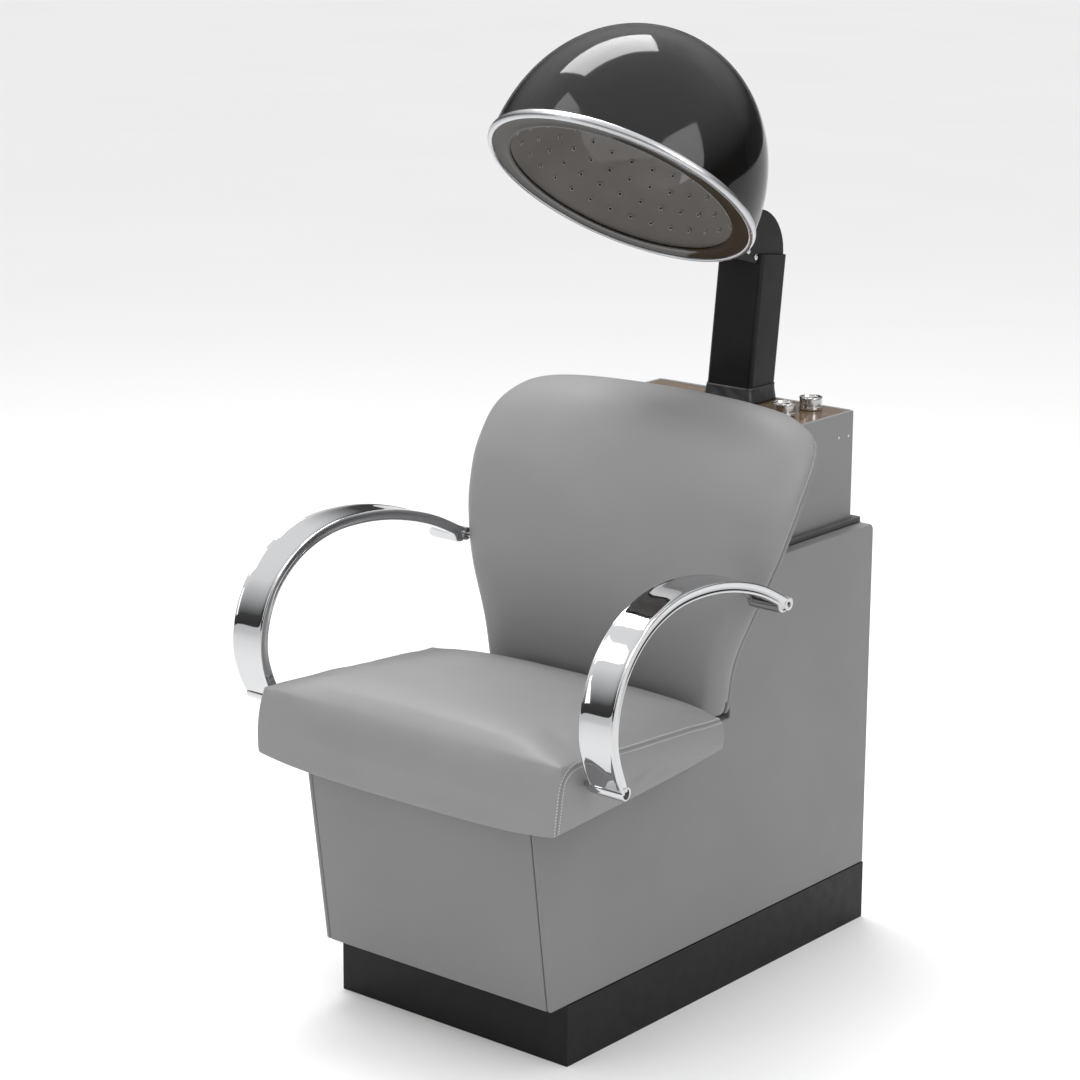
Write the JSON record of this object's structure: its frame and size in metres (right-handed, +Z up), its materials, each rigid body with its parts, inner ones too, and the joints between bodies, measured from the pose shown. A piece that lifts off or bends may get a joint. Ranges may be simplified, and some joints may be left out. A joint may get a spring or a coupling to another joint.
{
  "type": "hood hair dryer chair",
  "caption": "Salon box chair with a padded seat and back, flat chrome arms and a tilting smoked hood on a telescoping air duct.",
  "frame": {"origin": "on the floor, at the middle of the footprint of the whole object", "axes": "+Z up, the seat faces -Y, the sitter's left hand is towards +X and the duct stands at the +Y end; names say left and right as seen from in front"},
  "size_m": [0.6734, 0.824, 1.3587],
  "materials": {
    "grey_vinyl": "satin",
    "cushion_vinyl": "satin",
    "welt_vinyl": "matte",
    "black_laminate": "satin",
    "plywood": "matte",
    "chrome": "polished",
    "zinc_steel": "satin",
    "satin_black_sheet": "satin",
    "smoked_plastic": "polished",
    "satin_aluminium": "satin",
    "brown_laminate": "gloss",
    "black_rubber": "matte",
    "white_nylon": "satin",
    "heating_wire": "satin",
    "mica_board": "matte",
    "filter_foam": "matte"
  },
  "bodies": {
    "chair": {"arm_bolt_front_left": "zinc_steel", "arm_bolt_front_right": "zinc_steel", "arm_bolt_rear_left": "zinc_steel", "arm_bolt_rear_right": "zinc_steel", "arm_left": "chrome", "arm_right": "chrome", "back_block_left": "plywood", "back_block_right": "plywood", "back_cushion": "cushion_vinyl", "back_shell": "grey_vinyl", "base_board": "plywood", "blower_motor": "zinc_steel", "blower_scroll": "zinc_steel", "blower_shelf": "plywood", "box_wall_front": "grey_vinyl", "box_wall_left": "grey_vinyl", "box_wall_rear": "grey_vinyl", "box_wall_right": "grey_vinyl", "control_plate": "brown_laminate", "duct_boot": "black_rubber", "front_panel": "grey_vinyl", "gimp_trim": "welt_vinyl", "heat_switch": "white_nylon", "heater_coil": "heating_wire", "heater_frame": "mica_board", "height_lock_screw": "zinc_steel", "intake_grille": "zinc_steel", "lint_filter": "filter_foam", "motor_bracket": "zinc_steel", "outer_duct": "satin_black_sheet", "plinth": "black_laminate", "power_inlet": "black_rubber", "rear_panel": "grey_vinyl", "riser_panel": "grey_vinyl", "seat_cushion": "cushion_vinyl", "seat_deck": "plywood", "seat_frame": "plywood", "side_panel_left": "grey_vinyl", "side_panel_right": "grey_vinyl", "thermostat": "mica_board", "timer_switch": "white_nylon", "top_ledge": "grey_vinyl"},
    "duct_slider": {"inner_duct": "satin_black_sheet", "hinge_screw_left": "chrome", "hinge_screw_right": "chrome"},
    "hood": {"hood_outer_shell": "smoked_plastic", "hood_inner_bonnet": "smoked_plastic", "hood_lip_ring": "smoked_plastic", "hood_rim_band": "satin_aluminium", "hood_neck": "satin_black_sheet", "neck_screw_left": "chrome", "neck_screw_right": "chrome", "hood_top_plug": "black_rubber", "air_diffuser": "satin_black_sheet"},
    "timer_dial": {"timer_knob": "chrome"},
    "heat_dial": {"heat_knob": "chrome"},
    "impeller": {"blower_wheel": "zinc_steel", "motor_shaft": "zinc_steel"}
  },
  "joints": [
    {"name": "hood_height", "type": "slide", "parent": "chair", "child": "duct_slider", "axis": [0, 0.1213, 0.9926], "range_m": [0, 0.08]},
    {"name": "hood_tilt", "type": "hinge", "parent": "duct_slider", "child": "hood", "pos_m": [0, 0.3354, 1.0044], "axis": [1, 0, 0], "range_deg": [-30, 8]},
    {"name": "timer_turn", "type": "hinge", "parent": "chair", "child": "timer_dial", "pos_m": [0.1235, 0.356, 0.787], "axis": [0, 0, -1], "range_deg": [0, 300]},
    {"name": "heat_turn", "type": "hinge", "parent": "chair", "child": "heat_dial", "pos_m": [0.118, 0.296, 0.787], "axis": [0, 0, -1], "range_deg": [0, 270]},
    {"name": "blower_spin", "type": "hinge", "parent": "chair", "child": "impeller", "pos_m": [0, 0.318, 0.615], "axis": [1, 0, 0], "continuous": true}
  ]
}
